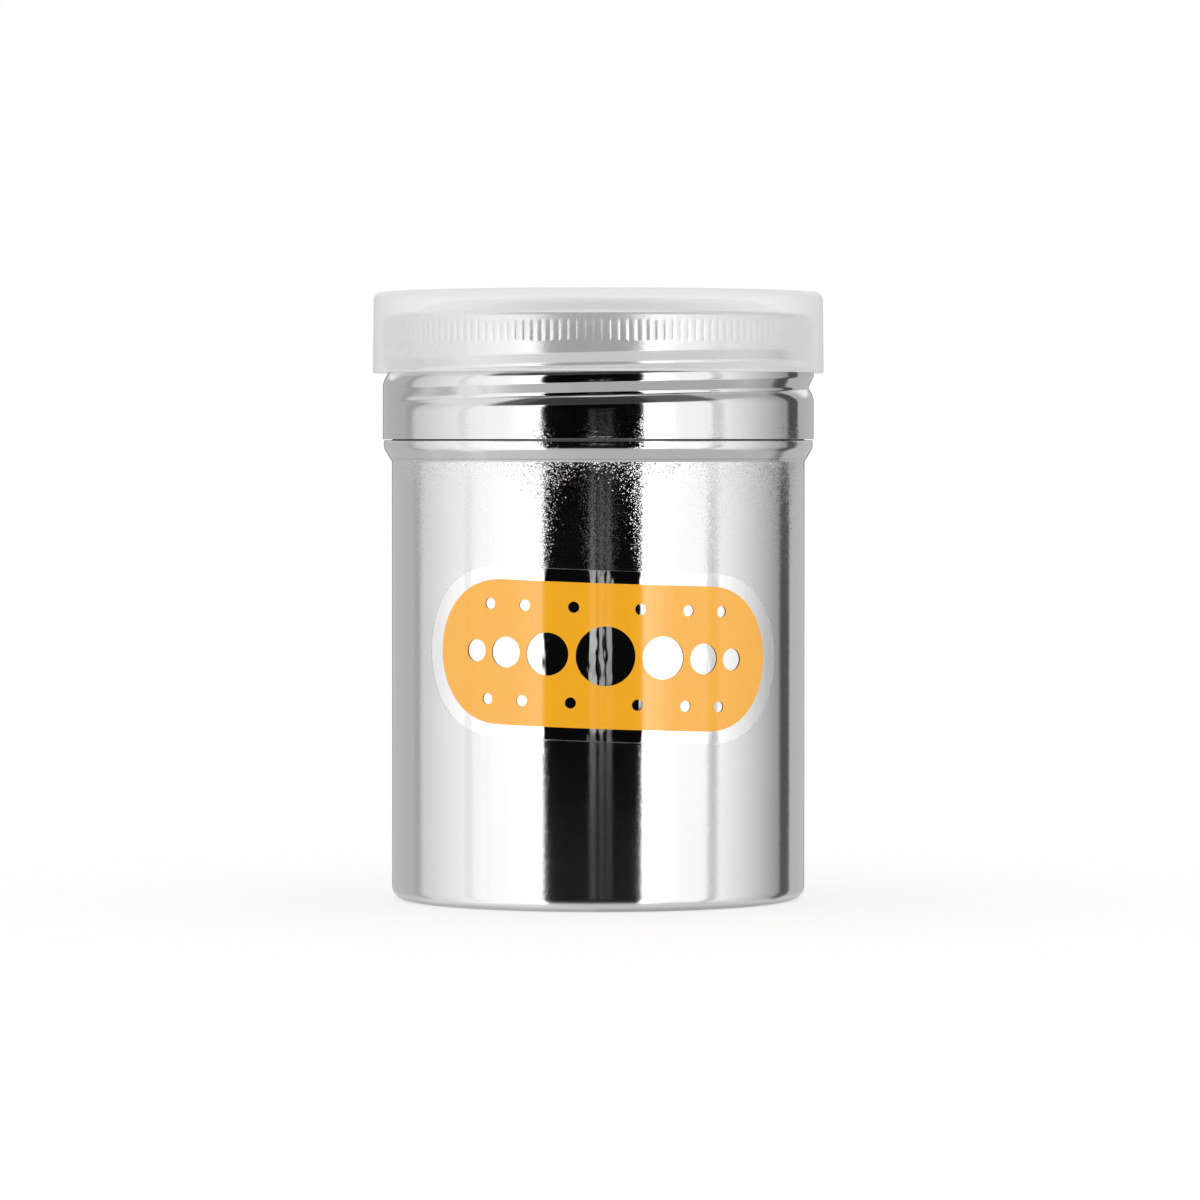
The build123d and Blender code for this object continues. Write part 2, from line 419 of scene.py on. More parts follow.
def hole_centres():
    """Middle of each sifter hole, in plan."""
    centres = [Vector((0, 0))]
    for ring in range(1, HOLE_RINGS + 1):
        for k in range(ring * HOLES_PER_RING):
            turn = 2 * math.pi * k / (ring * HOLES_PER_RING)
            centres.append(Vector((math.cos(turn), math.sin(turn))) * (ring * HOLE_STEP))
    return centres


def circle(centre, radius, count):
    """Points round a circle, counter-clockwise."""
    turns = [2 * math.pi * k / count for k in range(count)]
    return [centre + Vector((math.cos(t), math.sin(t))) * radius for t in turns]


def filled(outline, holes, extra):
    """Triangles that fill an outline round some holes: the points used, and the faces. The points
    of the outline and then of each hole come first and in order, and extra points come last."""
    points = list(outline)
    edges = [(k, (k + 1) % len(outline)) for k in range(len(outline))]
    rims = []
    for rim in holes:
        first = len(points)
        points += rim
        rims.append(set(range(first, len(points))))
        edges += [(first + k, first + (k + 1) % len(rim)) for k in range(len(rim))]
    points += extra
    _, _, faces, origins, _, _ = delaunay_2d_cdt(points, edges, [], 1, WELD)
    numbered = [[origins[corner][0] for corner in face] for face in faces]
    return points, [face for face in numbered if not any(rim.issuperset(face) for rim in rims)]


def sifter_patch(shell, outer_ring, inner_ring):
    """The perforated middle of the disc, between the last ring on top and the first one below."""
    lip = HOLE_RADIUS + HOLE_LIP
    centres = hole_centres()
    outline = [Vector(shell.points[k][:2]) for k in outer_ring]
    holes = [circle(centre, lip, HOLE_SIDES) for centre in centres]
    extra = []
    for ring in range(1, 2 * HOLE_RINGS + 1):
        for spot in circle(Vector((0, 0)), ring * HOLE_STEP / 2, DISC_SPOKES * ring):
            if min((spot - centre).length for centre in centres) > lip + DISC_MARGIN:
                extra.append(spot)
    points, faces = filled(outline, holes, extra)

    def level(ring, drop):
        made = list(ring)
        for spot in points[len(outline) :]:
            made += shell.ring([(spot.x, spot.y, DISC_TOP - drop)])
        return made

    top = level(outer_ring, 0)
    below = level(inner_ring, SHEET)
    for corners in faces:
        shell.face(tuple(top[k] for k in corners))
        shell.face(tuple(below[k] for k in reversed(corners)))
    first = len(outline)
    for centre in centres:
        upper, lower = top[first : first + HOLE_SIDES], below[first : first + HOLE_SIDES]
        first += HOLE_SIDES
        walls = []
        for radius, drop in HOLE_ROWS:
            spots = circle(centre, radius, HOLE_SIDES)
            walls.append(shell.ring([(spot.x, spot.y, DISC_TOP - drop) for spot in spots]))
        for near, far in zip([upper] + walls, walls + [lower]):
            shell.bridge(near, far)


def cap_shell():
    """Screw cap: perforated disc, flat shoulder, knurl and a skirt with the rolled groove."""
    corners = [
        ((HOLE_RINGS + 0.5) * HOLE_STEP, DISC_TOP),
        (SHOULDER_RADIUS - DISC_SLOPE, DISC_TOP),
        (SHOULDER_RADIUS, CAP_TOP),
        (CAP_RADIUS, CAP_TOP),
        (CAP_RADIUS, SKIRT_EDGE),
    ]
    line = supported(sheet_loop(corners, [DISC_ROUND, DISC_FOOT, CAP_BEND], -1)[::-1])
    line = stepped(line, thread_reach(CAP_THREAD)[0], THREAD_STOP, CAP_RADIUS - SHEET / 2)
    rows = [KNURL_LOW + row for row in KNURL_ROWS] + [KNURL_HIGH - row for row in KNURL_ROWS[::-1]]
    line = inserted(line, rows, CAP_RADIUS)
    pitch = 360 / KNURL_COUNT
    half = math.sqrt(KNURL_CUTTER**2 - (KNURL_CUTTER - KNURL_DEPTH) ** 2)
    near = [math.degrees(across / CAP_RADIUS) for across in (0, KNURL_MIDDLE * half, half)]
    around = near + [pitch / 2] + [pitch - angle for angle in reversed(near[1:])]
    starts = KNURL_START + np.arange(KNURL_COUNT) * pitch
    fine = np.add.outer(starts, around).ravel()

    def knurled(spot):
        radius, height = line[spot]
        return radius > CAP_RADIUS - NEAR and KNURL_LOW - NEAR < height < KNURL_HIGH + NEAR

    def columns(spot):
        return fine if knurled(spot) else even_columns()

    def pressed(spot, angles):
        radius, height = line[spot]
        if knurled(spot):
            past = (angles - KNURL_START) % pitch
            side = np.radians(np.minimum(past, pitch - past)) * CAP_RADIUS
            side = np.minimum(side, KNURL_CUTTER)
            end = min(height - KNURL_LOW, KNURL_HIGH - height)
            ending = max(0, KNURL_END - end) / KNURL_END
            depth = KNURL_DEPTH * math.sqrt(max(0, 1 - ending**2))
            return -np.maximum(0, np.sqrt(KNURL_CUTTER**2 - side**2) - (KNURL_CUTTER - depth))
        if radius < CAP_BORE - NEAR or not SKIRT_EDGE + SKIRT_BAND < height < KNURL_LOW:
            return np.zeros_like(angles)
        return -CAP_THREAD_DEPTH * thread_share(angles, height, CAP_THREAD)

    shell = Shell()
    first, last = shell.turned(line, columns, pressed)
    sifter_patch(shell, last, first)
    return shell


def cover_shell():
    """Shallow cover with soft edges."""
    over = [(0, COVER_TOP), (COVER_RADIUS - COVER_DRAFT, COVER_TOP), (COVER_RADIUS, COVER_RIM)]
    ceiling = COVER_TOP - COVER_WALL
    under = [
        (0, ceiling),
        (COVER_RADIUS - COVER_DRAFT - COVER_WALL, ceiling),
        (COVER_RADIUS - COVER_WALL, COVER_RIM),
    ]
    folds = [COVER_CORNER, COVER_EDGE, COVER_EDGE, COVER_CORNER + COVER_WALL]
    line = supported(rounded(under + over[::-1], folds))
    rim = min(range(len(line)), key=lambda spot: line[spot].y)
    shell = Shell()
    shell.turned(line, even_columns, inner_rows=rim)
    return shell


# ---- Label ----------------------------------------------------------------------------------


def slot_outline(length, width):
    """Points round a slot with round ends, lying flat and level, counter-clockwise."""
    radius = width / 2
    reach = (length - width) / 2
    straight = np.linspace(-reach, reach, math.ceil(2 * reach / LABEL_GRID) + 1)[1:-1]
    turns = np.radians(np.linspace(-90, 90, LABEL_ENDS + 1))
    right = [Vector((reach + radius * math.cos(t), radius * math.sin(t))) for t in turns]
    top = [Vector((x, radius)) for x in straight[::-1]]
    left = [-spot for spot in right]
    bottom = [Vector((x, -radius)) for x in straight]
    return right + top + left + bottom


def bare_dots():
    """Centre and radius of each round that is left bare in the print."""
    dots = [(Vector((0, 0)), DOT_DIAMETER / 2)]
    along, size = 0, DOT_DIAMETER
    for _ in range(DOTS_EACH_SIDE):
        smaller = DOT_RATIO * size
        gap = along + (size + DOT_SPACING) / 2
        along += (size + smaller) / 2 + DOT_SPACING
        for side in (-1, 1):
            dots.append((Vector((side * along, 0)), smaller / 2))
            for up in (-SPECK_OFFSET, SPECK_OFFSET):
                dots.append((Vector((side * gap, up)), SPECK_DIAMETER / 2))
        size = smaller
    return dots


def inside_slot(spot, length, width, margin):
    """Whether a flat point lies in a slot, by more than a margin."""
    reach = (length - width) / 2
    beyond = max(abs(spot.x) - reach, 0)
    return math.hypot(beyond, spot.y) < width / 2 - margin


def wrapped_shell(length, width, radius, thickness, dots=()):
    """A thin skin with a slot's outline and bare rounds, tilted and wrapped round the can."""
    outline = slot_outline(length, width)
    holes = []
    for centre, size in dots:
        holes.append(circle(centre, size, int(DOT_SIDES[0] + DOT_SIDES[1] * size)))
    extra = []
    for x in np.arange(-length / 2, length / 2, LABEL_GRID) + LABEL_GRID / 2:
        for y in np.arange(-width / 2, width / 2, LABEL_GRID) + LABEL_GRID / 2:
            spot = Vector((x, y))
            clear = all((spot - centre).length > size + LABEL_MARGIN for centre, size in dots)
            if clear and inside_slot(spot, length, width, LABEL_MARGIN):
                extra.append(spot)
    points, faces = filled(outline, holes, extra)
    tilt = math.radians(LABEL_TILT)
    shell = Shell()

    def wrapped(at_radius):
        placed = []
        for spot in points:
            along = spot.x * math.cos(tilt) - spot.y * math.sin(tilt)
            up = spot.x * math.sin(tilt) + spot.y * math.cos(tilt)
            turn = math.radians(LABEL_TURN) + along / CAN_RADIUS
            place = (at_radius * math.sin(turn), -at_radius * math.cos(turn), LABEL_HEIGHT + up)
            placed.append(place)
        return shell.ring(placed)

    front = wrapped(radius + thickness)
    back = wrapped(radius + STICKER_GAP)
    for corners in faces:
        shell.face(tuple(front[k] for k in corners))
        shell.face(tuple(back[k] for k in reversed(corners)), 1)
    first = 0
    for rim, inward in [(outline, False)] + [(rim, True) for rim in holes]:
        near, far = back[first : first + len(rim)], front[first : first + len(rim)]
        shell.bridge(*((far, near) if inward else (near, far)), 2)
        first += len(rim)
    return shell


# ---- Materials ------------------------------------------------------------------------------

STEEL = 0.76  # level of the can's steel
CAP_STEEL = 0.69  # level of the cap's steel
SHADE = 0.015  # how far those levels stray
CAN_GRAIN = 0.1  # size of the flat grains in the can's steel
CAP_GRAIN = 0.12
# Heights at which the can's finish, and the light and shade painted into its colour, change
SATIN = (BODY_HEIGHT - 8.5, BODY_HEIGHT)  # from brushed to satin, fast towards the bead
GRAINY = (48.0, 64.0)  # from brushed to satin, slowly
FLARE = (BODY_HEIGHT + 0.1, BODY_HEIGHT + 0.4)  # from satin to the smooth flare of the bead
BAND = (BODY_HEIGHT + 1.8, BODY_HEIGHT + 2.2)  # from the flare to the bead's grainy band
PAINTED_CREASE_SHADE_HEIGHT = BODY_HEIGHT + 0.45  # a dark line of painted shade where the flare begins, for the shade in the fold
DULL_FOOT = (28.0, 4.0)  # from brushed to dull, downwards
PAINTED_CORNER_REFLECTION = (0.7, 1.3, 0.4, 0.4)  # painted reflection of the white floor, lightening the corner of the base: its ends, and the softness of each
PAINTED_UNDERSIDE_SHADE = (0.7, 0.3)  # from the corner to the underside, darkened by painted shade
MASK_EDGE = 0.05  # softness of a mask, on either side of its edge
COVER_CLEAR = 0.6  # share of the light that goes straight through the cover's wall


class Graph:
    """A short way to add and join the nodes of one tree."""

    def __init__(self, tree):
        self.tree = tree
        tree.nodes.clear()

    def add(self, kind, inputs=None, **settings):
        node = self.tree.nodes.new(kind)
        for name, value in settings.items():
            setattr(node, name, value)
        for name, value in (inputs or {}).items():
            if isinstance(value, bpy.types.NodeSocket):
                self.tree.links.new(value, node.inputs[name])
            else:
                node.inputs[name].default_value = value
        return node

    def math(self, operation, *values):
        return self.add("ShaderNodeMath", dict(enumerate(values)), operation=operation).outputs[0]

    def plus(self, first, second):
        return self.math("ADD", first, second)

    def minus(self, first, second):
        return self.math("SUBTRACT", first, second)

    def times(self, first, second):
        return self.math("MULTIPLY", first, second)

    def length(self, across, up):
        """Length of a flat line from how far it goes across and up."""
        return self.math("SQRT", self.plus(self.times(across, across), self.times(up, up)))

    def vector(self, operation, *values):
        node = self.add("ShaderNodeVectorMath", dict(enumerate(values)), operation=operation)
        return node.outputs[0]

    def ramp(self, value, low, high, first=0.0, last=1.0, smooth=True):
        """Goes from first to last as the value goes from low to high."""
        kind = "SMOOTHSTEP" if smooth else "LINEAR"
        inputs = {"Value": value, "From Min": low, "From Max": high, "To Min": first, "To Max": last}
        return self.add("ShaderNodeMapRange", inputs, interpolation_type=kind).outputs[0]

    def between(self, value, low, high, low_soft, high_soft):
        """1 between two values and 0 outside them, with soft edges of two widths."""
        up = self.ramp(value, low - low_soft / 2, low + low_soft / 2)
        down = self.ramp(value, high - high_soft / 2, high + high_soft / 2, 1.0, 0.0)
        return self.times(up, down)

    def blend(self, share, first, last):
        """Goes from first to last with the share."""
        return self.add("ShaderNodeMix", {0: share, 2: first, 3: last}).outputs[0]

    def tint(self, share, first, last):
        """Goes from the first colour to the last with the share."""
        node = self.add("ShaderNodeMix", {0: share, 6: first, 7: last}, data_type="RGBA")
        return node.outputs[2]

    def mixed(self, share, first, last):
        """Goes from the first shader to the last with the share."""
        return self.add("ShaderNodeMixShader", {0: share, 1: first, 2: last}).outputs[0]

    def noise(self, place, size, detail=2.0, stretch=(1, 1, 1)):
        """Noise whose lumps are about size millimetres, longer along an axis by its stretch."""
        scale = tuple(1 / (size * MM * longer) for longer in stretch)
        inputs = {"Vector": self.vector("MULTIPLY", place, scale), "Scale": 1.0, "Detail": detail}
        return self.add("ShaderNodeTexNoise", inputs).outputs["Fac"]

    def bump(self, height, depth, normal=None):
        """A bump whose height, 0 to 1, stands for depth millimetres."""
        inputs = {"Height": height, "Distance": depth * MM, "Strength": 1.0}
        if normal:
            inputs["Normal"] = normal
        return self.add("ShaderNodeBump", inputs).outputs[0]

    def speckled(self, place, size, amount):
        """The surface's normal, tilted at random in flat grains of about size millimetres. Most
        grains tilt a little, and a few by up to half the amount, sideways more than up or down."""
        grains = self.add("ShaderNodeTexVoronoi", {"Vector": place, "Scale": 1 / (size * MM)})
        colour = grains.outputs["Color"]
        chance = self.add("ShaderNodeTexWhiteNoise", {"Vector": colour}).outputs["Value"]
        amount = self.times(amount, self.times(chance, chance))
        spread = self.vector("SUBTRACT", colour, (0.5, 0.5, 0.5))
        spread = self.vector("MULTIPLY", spread, (1.0, 1.0, 0.25))
        tilt = self.add("ShaderNodeVectorMath", {0: spread, "Scale": amount}, operation="SCALE")
        normal = self.add("ShaderNodeNewGeometry").outputs["Normal"]
        return self.vector("NORMALIZE", self.vector("ADD", normal, tilt.outputs[0]))

    def place(self):
        """A point of the piece in metres, its height in millimetres and its angle in radians."""
        point = self.add("ShaderNodeTexCoord").outputs["Object"]
        x, y, z = self.add("ShaderNodeSeparateXYZ", {0: point}).outputs
        angle = self.math("ARCTAN2", x, self.times(y, -1.0))
        return point, self.math("DIVIDE", z, MM), angle

    def principled(self, inputs):
        return self.add("ShaderNodeBsdfPrincipled", inputs).outputs[0]

    def finish(self, shader):
        self.add("ShaderNodeOutputMaterial", {"Surface": shader})


def new_material(name):
    material = bpy.data.materials.new(name)
    material.use_nodes = True
    return material, Graph(material.node_tree)


def grey(level):
    return (level, level, level, 1.0)


def label_mask(graph, point, height, angle):
    """1 on the can's outside under the label's film, and 0 elsewhere."""
    x, y, _ = graph.add("ShaderNodeSeparateXYZ", {0: point}).outputs
    middle = CAN_RADIUS - SHEET / 2
    outside = graph.ramp(graph.length(x, y), (middle - MASK_EDGE) * MM, (middle + MASK_EDGE) * MM)
    tilt = math.radians(LABEL_TILT)
    arc = graph.times(graph.minus(angle, math.radians(LABEL_TURN)), CAN_RADIUS)
    rise = graph.minus(height, LABEL_HEIGHT)
    along = graph.plus(graph.times(arc, math.cos(tilt)), graph.times(rise, math.sin(tilt)))
    up = graph.minus(graph.times(rise, math.cos(tilt)), graph.times(arc, math.sin(tilt)))
    straight = (FILM_LENGTH - FILM_WIDTH) / 2
    beyond = graph.math("MAXIMUM", graph.minus(graph.math("ABSOLUTE", along), straight), 0.0)
    end = FILM_WIDTH / 2
    inside = graph.ramp(graph.length(beyond, up), end + MASK_EDGE, end - MASK_EDGE)
    return graph.times(inside, outside)


def can_steel():
    """Finely brushed steel: satin under the bead, smooth under the label's glue and dull at the foot,
    with a painted reflection lightening the corner round the base, painted shade on the underside
    and a dark line of painted shade where the bead's flare begins."""
    material, graph = new_material("can_steel")
    point, height, angle = graph.place()
    glued = label_mask(graph, point, height, angle)
    bare = graph.minus(1.0, glued)

    satin = graph.math("POWER", graph.ramp(height, *SATIN, smooth=False), 4.0)
    amount = graph.plus(graph.times(satin, 0.8), 0.05)
    amount = graph.plus(amount, graph.ramp(height, *GRAINY, 0.0, 0.2, smooth=False))
    amount = graph.blend(graph.ramp(height, *FLARE), amount, graph.ramp(height, *BAND, 0.05, 0.16))
    lines = graph.noise(point, 0.12, 2.0, (60, 60, 1))  # brushing round the can
    ripple = graph.noise(point, 2.2, 1.0, (0.6, 0.6, 1.6))  # waves in the film
    normal = graph.speckled(point, CAN_GRAIN, graph.times(amount, bare))
    normal = graph.bump(graph.times(lines, bare), 0.001, normal)
    normal = graph.bump(graph.times(ripple, glued), 0.02, normal)

    rough = graph.plus(graph.times(lines, 0.04), 0.08)
    rough = graph.plus(rough, graph.ramp(height, *DULL_FOOT, 0.0, 0.06))
    rough = graph.blend(glued, rough, 0.05)

    shade = graph.noise(point, 9.0, 3.0)
    colour = graph.tint(shade, grey(STEEL - SHADE), grey(STEEL + SHADE))
    colour = graph.tint(glued, colour, grey(0.88))
    # Painted reflection: the steel is lightened round the base's corner, where it would mirror the
    # white floor
    colour = graph.tint(graph.between(height, *PAINTED_CORNER_REFLECTION), colour, grey(0.94))
    # Painted shade: the underside of the base is darkened where the can stands on the floor
    colour = graph.tint(graph.ramp(height, *PAINTED_UNDERSIDE_SHADE), colour, grey(0.62))
    # Painted shade: a dark line where the flare begins, standing in for the shade in the fold
    crease_shade = graph.ramp(graph.math("ABSOLUTE", graph.minus(height, PAINTED_CREASE_SHADE_HEIGHT)), 0.1, 0.03)
    colour = graph.tint(graph.times(crease_shade, 0.3), colour, grey(0.1))
    inputs = {
        "Base Color": colour,
        "Metallic": 1.0,
        "Roughness": rough,
        "Anisotropic": 1.0,
        "Anisotropic Rotation": 0.25,
        "Normal": normal,
    }
    graph.finish(graph.principled(inputs))
    return material


def cap_steel():
    """Polished steel with a slight grain at the skirt's edge, duller where the cover hides it."""
    material, graph = new_material("cap_steel")
    point, height, _ = graph.place()
    amount = graph.ramp(height, SKIRT_EDGE + 4.0, SKIRT_EDGE + 1.0, 0.03, 0.13)
    lines = graph.noise(point, 0.15, 2.0, (40, 40, 1))
    normal = graph.bump(lines, 0.0006, graph.speckled(point, CAP_GRAIN, amount))

    rough = graph.plus(graph.times(lines, 0.04), 0.05)
    dull = graph.ramp(height, KNURL_HIGH - 3.0, KNURL_HIGH + 0.5, 0.2, 0.34)
    rough = graph.blend(graph.ramp(height, COVER_RIM - 0.5, COVER_RIM + 1.0), rough, dull)
    shade = graph.noise(point, 8.0, 3.0)
    inputs = {
        "Base Color": graph.tint(shade, grey(CAP_STEEL - SHADE), grey(CAP_STEEL + SHADE)),
        "Metallic": 1.0,
        "Roughness": rough,
        "Anisotropic": 0.3,
        "Anisotropic Rotation": 0.25,
        "Normal": normal,
    }
    graph.finish(graph.principled(inputs))
    return material


def seal_rubber():
    """Off-white silicone."""
    material, graph = new_material("seal_rubber")
    point, _, _ = graph.place()
    bloom = graph.noise(point, 3.0, 3.0)
    colour = graph.tint(bloom, (0.72, 0.71, 0.67, 1), (0.8, 0.79, 0.75, 1))
    normal = graph.bump(graph.noise(point, 0.4, 2.0), 0.01)
    rough = graph.ramp(bloom, 0.3, 0.7, 0.5, 0.62)
    graph.finish(graph.principled({"Base Color": colour, "Roughness": rough, "Normal": normal}))
    return material


def cover_plastic():
    """Milky see-through plastic, denser where the wall is seen edge-on and greyed there by painted
    shade. The steel under it mirrors its wall only at a slant, because the wall would veil the steel
    twice where it is seen square."""
    material, graph = new_material("cover_plastic")
    point, height, _ = graph.place()
    facing = graph.add("ShaderNodeLayerWeight", {"Blend": 0.5}).outputs["Facing"]
    inner = graph.add("ShaderNodeNewGeometry").outputs["Backfacing"]
    mirrored = graph.add("ShaderNodeLightPath").outputs["Is Glossy Ray"]

    depth = graph.math("DIVIDE", 1.0, graph.math("MAXIMUM", graph.minus(1.0, facing), 0.2))
    opacity = graph.minus(1.0, graph.math("POWER", COVER_CLEAR, depth))
    rim = graph.ramp(height, COVER_RIM + 0.5, COVER_RIM + 0.1)
    opacity = graph.blend(rim, opacity, 0.85)
    slant = graph.ramp(facing, 0.1, 0.35, 0.0, 0.65)
    low, high = COVER_RIM + 1.5, COVER_TOP - 3.5
    slant = graph.times(slant, graph.between(height, low, high, 1.0, 1.0))
    opacity = graph.blend(mirrored, opacity, slant)

    haze = graph.noise(point, 6.0, 3.0)
    # Painted shade: the milk's colour is greyer where the wall is seen edge-on
    colour = graph.tint(facing, grey(0.97), grey(0.72))
    colour = graph.tint(graph.times(haze, 0.3), colour, grey(0.9))
    normal = graph.bump(graph.noise(point, 0.7, 2.0), 0.003)
    shell = graph.principled({"Base Color": colour, "Roughness": 0.3, "Normal": normal})
    through = graph.add("ShaderNodeBsdfTranslucent", {"Color": grey(0.76)}).outputs[0]
    milk = graph.mixed(graph.blend(inner, 0.12, 1.0), shell, through)

    tint = graph.tint(graph.math("POWER", facing, 3.0), grey(1.0), grey(0.9))
    tint = graph.tint(mirrored, tint, grey(1.0))
    seen = graph.add("ShaderNodeBsdfTransparent", {"Color": tint}).outputs[0]
    graph.finish(graph.mixed(opacity, seen, milk))
    return material


def film_plastic():
    """Clear glossy film."""
    material, graph = new_material("film_plastic")
    point, _, _ = graph.place()
    normal = graph.bump(graph.noise(point, 2.5, 1.0, (0.6, 0.6, 1.8)), 0.02)
    gloss = graph.add("ShaderNodeFresnel", {"IOR": 1.45, "Normal": normal}).outputs[0]
    behind = graph.add("ShaderNodeNewGeometry").outputs["Backfacing"]
    gloss = graph.times(gloss, graph.minus(1.0, behind))
    clear = graph.add("ShaderNodeBsdfTransparent").outputs[0]
    inputs = {"Base Color": grey(0.9), "Metallic": 1.0, "Roughness": 0.06, "Normal": normal}
    graph.finish(graph.mixed(gloss, clear, graph.principled(inputs)))
    return material


def clear_side():
    """A side that is only see-through: the film's glued back and the inside of the cover."""
    material, graph = new_material("clear_side")
    graph.finish(graph.add("ShaderNodeBsdfTransparent").outputs[0])
    return material


def film_edge():
    """The cut edge of the film, which catches the light."""
    material, graph = new_material("film_edge")
    point, _, _ = graph.place()
    colour = graph.tint(graph.noise(point, 0.8, 2.0), grey(0.85), grey(1.0))
    graph.finish(graph.principled({"Base Color": colour, "Roughness": 0.4}))
    return material


def orange_ink():
    """Orange ink under a glossy film."""
    material, graph = new_material("orange_ink")
    point, _, _ = graph.place()
    body = graph.noise(point, 5.0, 3.0)
    speckle = graph.noise(point, 0.35, 2.0)
    share = graph.plus(graph.times(body, 0.7), graph.times(speckle, 0.3))
    normal = graph.bump(graph.noise(point, 1.5, 2.0), 0.004)
    inputs = {
        "Base Color": graph.tint(share, (0.93, 0.405, 0.003, 1), (0.99, 0.455, 0.006, 1)),
        "Roughness": 0.45,
        "Specular IOR Level": 0.2,
        "Coat Weight": 1.0,
        "Coat Roughness": 0.08,
        "Coat IOR": 1.77,
        "Normal": normal,
        "Coat Normal": normal,
    }
    graph.finish(graph.principled(inputs))
    return material


# ---- Studio ---------------------------------------------------------------------------------

# What shiny surfaces mirror. Angles run round the can, heights count from the horizon, and the
# softness of an edge is its width, all in degrees.
ROOM = 0.56  # level of the room round the studio
# Each panel: where it starts and ends, the softness of each edge, its level at each edge
PANELS = [
    (-117.0, -64.0, 6.0, 1.0, 0.76, 1.28),  # left wall
    (-64.0, -29.5, 1.0, 5.0, 1.28, 1.36),  # left screen
    (-48.0, -28.5, 8.0, 4.0, 1.36, 2.0),  # its bright side next to the flag
    (-79.5, -74.5, 3.0, 3.0, 0.98, 1.02),  # a joint in the left wall
    (-125.0, -118.5, 4.0, 3.0, 0.48, 0.48),  # the dark end of the left wall
    (22.3, 64.0, 5.0, 4.0, 1.36, 1.24),  # right screen
    (22.0, 42.0, 4.0, 8.0, 3.2, 1.36),  # its bright side next to the flag
    (63.5, 70.5, 3.0, 3.0, 0.86, 0.9),  # the joint between the right screen and the right wall
    (70.0, 120.0, 3.0, 4.0, 1.17, 0.38),  # right wall
    (121.0, 134.0, 5.0, 3.0, 0.1, 0.1),  # a dark gap beyond it
    (-30.5, 24.5, 3.0, 3.0, 0.003, 0.003),  # the black flag in front of the can
]
JOINT_FOOT = (65.0, 69.0, 3.0, 0.6)  # dark foot of the right joint: start, end, softness, level
JOINT_EDGE = (-1.0, -2.5)  # heights at which that foot begins and is whole
BACK = (171.0, 6.0, 3.0, 0.05)  # dark strip behind the can: start, height, softness, level
# A window in the flag: where each pane starts and ends, and its level
PANES = [(-4.7, -1.3, 0.85), (0.4, 3.2, 0.6), (4.3, 7.6, 0.55)]
PANE_SIDES = (0.6, 0.6)  # softness of the sides of a pane
PANE_HEIGHTS = (-2.4, -0.95, 0.3, 0.3)  # lower and upper end, and the softness of each
UPPER = (1.0, 0.55)  # level above the panels, on the left and on the right
UPPER_TURN = (55.0, 85.0)  # angles between which the left level turns into the right one
UPPER_EDGE = (26.0, 38.0)  # heights at which the panels begin to end and have ended
# Parts of the wall behind the can: lower and upper end, softness and level
WALL = [(9.0, 40.0, 5.0, 1.05), (41.0, 62.0, 4.0, 0.42)]
WALL_EDGE = (140.0, 155.0)  # angles, to both sides, at which that wall begins and is whole
ZENITH = 1.2  # level right over the can
ZENITH_EDGE = (60.0, 70.0)
# Parts of the dark ceiling in front of the can: start, end, softness and level
CEILING = [(-67.0, 73.0, 12.0, 0.16), (-46.0, 32.0, 14.0, 0.055)]
CEILING_HEIGHTS = (28.0, 67.0, 8.0, 6.0)  # lower and upper end, and the softness of each
TABLE = (0.66, 0.56)  # level of the table, on the left and on the right
TABLE_TURN = (-60.0, 0.0)  # angles between which one turns into the other
TABLE_EDGE = (-31.0, -39.0)  # heights at which the table begins and is whole
# Steps in the table's edge: from which angle, to which, and how far down
TABLE_STEPS = [(-88.0, -104.0, -15.0), (-29.0, -36.0, 10.0), (104.0, 124.0, -7.0)]
FLOOR_REACH = 6000.0  # half its side
FLOOR_GLOW = 0.6  # share of the floor's own white in what the camera sees


def panels(graph, azimuth, rise):
    """Level of the room, the upright panels and what stands between them."""
    level = ROOM
    for low, high, low_soft, high_soft, first, last in PANELS:
        strength = graph.ramp(azimuth, low, high, first, last, smooth=False)
        level = graph.blend(graph.between(azimuth, low, high, low_soft, high_soft), level, strength)
    start, reach, soft, strength = BACK
    behind = graph.ramp(graph.math("ABSOLUTE", azimuth), start - soft / 2, start + soft / 2)
    share = graph.times(behind, graph.between(rise, -reach, reach, soft, soft))
    level = graph.blend(share, level, strength)
    for low, high, strength in PANES:
        sides = graph.between(azimuth, low, high, *PANE_SIDES)
        share = graph.times(sides, graph.between(rise, *PANE_HEIGHTS))
        level = graph.blend(share, level, strength)
    return level


def overhead(graph, azimuth, rise, level):
    """The level with the wall behind the can and what is above the panels."""
    upper = graph.ramp(azimuth, *UPPER_TURN, *UPPER)
    level = graph.blend(graph.ramp(rise, *UPPER_EDGE), level, upper)
    behind = graph.ramp(graph.math("ABSOLUTE", azimuth), *WALL_EDGE)
    for low, high, soft, strength in WALL:
        share = graph.times(behind, graph.between(rise, low, high, soft, soft))
        level = graph.blend(share, level, strength)
    level = graph.blend(graph.ramp(rise, *ZENITH_EDGE), level, ZENITH)
    above = graph.between(rise, *CEILING_HEIGHTS)
    for low, high, soft, strength in CEILING:
        share = graph.times(graph.between(azimuth, low, high, soft, soft), above)
        level = graph.blend(share, level, strength)
    return level


def underneath(graph, azimuth, rise, level):
    """The level with the table and what else is below the panels."""
    low, high, soft, strength = JOINT_FOOT
    joint = graph.between(azimuth, low, high, soft, soft)
    level = graph.blend(graph.times(joint, graph.ramp(rise, *JOINT_EDGE)), level, strength)
    for low, high, drop in TABLE_STEPS:
        rise = graph.plus(rise, graph.ramp(azimuth, low, high, 0.0, drop))
    table = graph.ramp(azimuth, *TABLE_TURN, *TABLE)
    return graph.blend(graph.ramp(rise, *TABLE_EDGE), level, table)


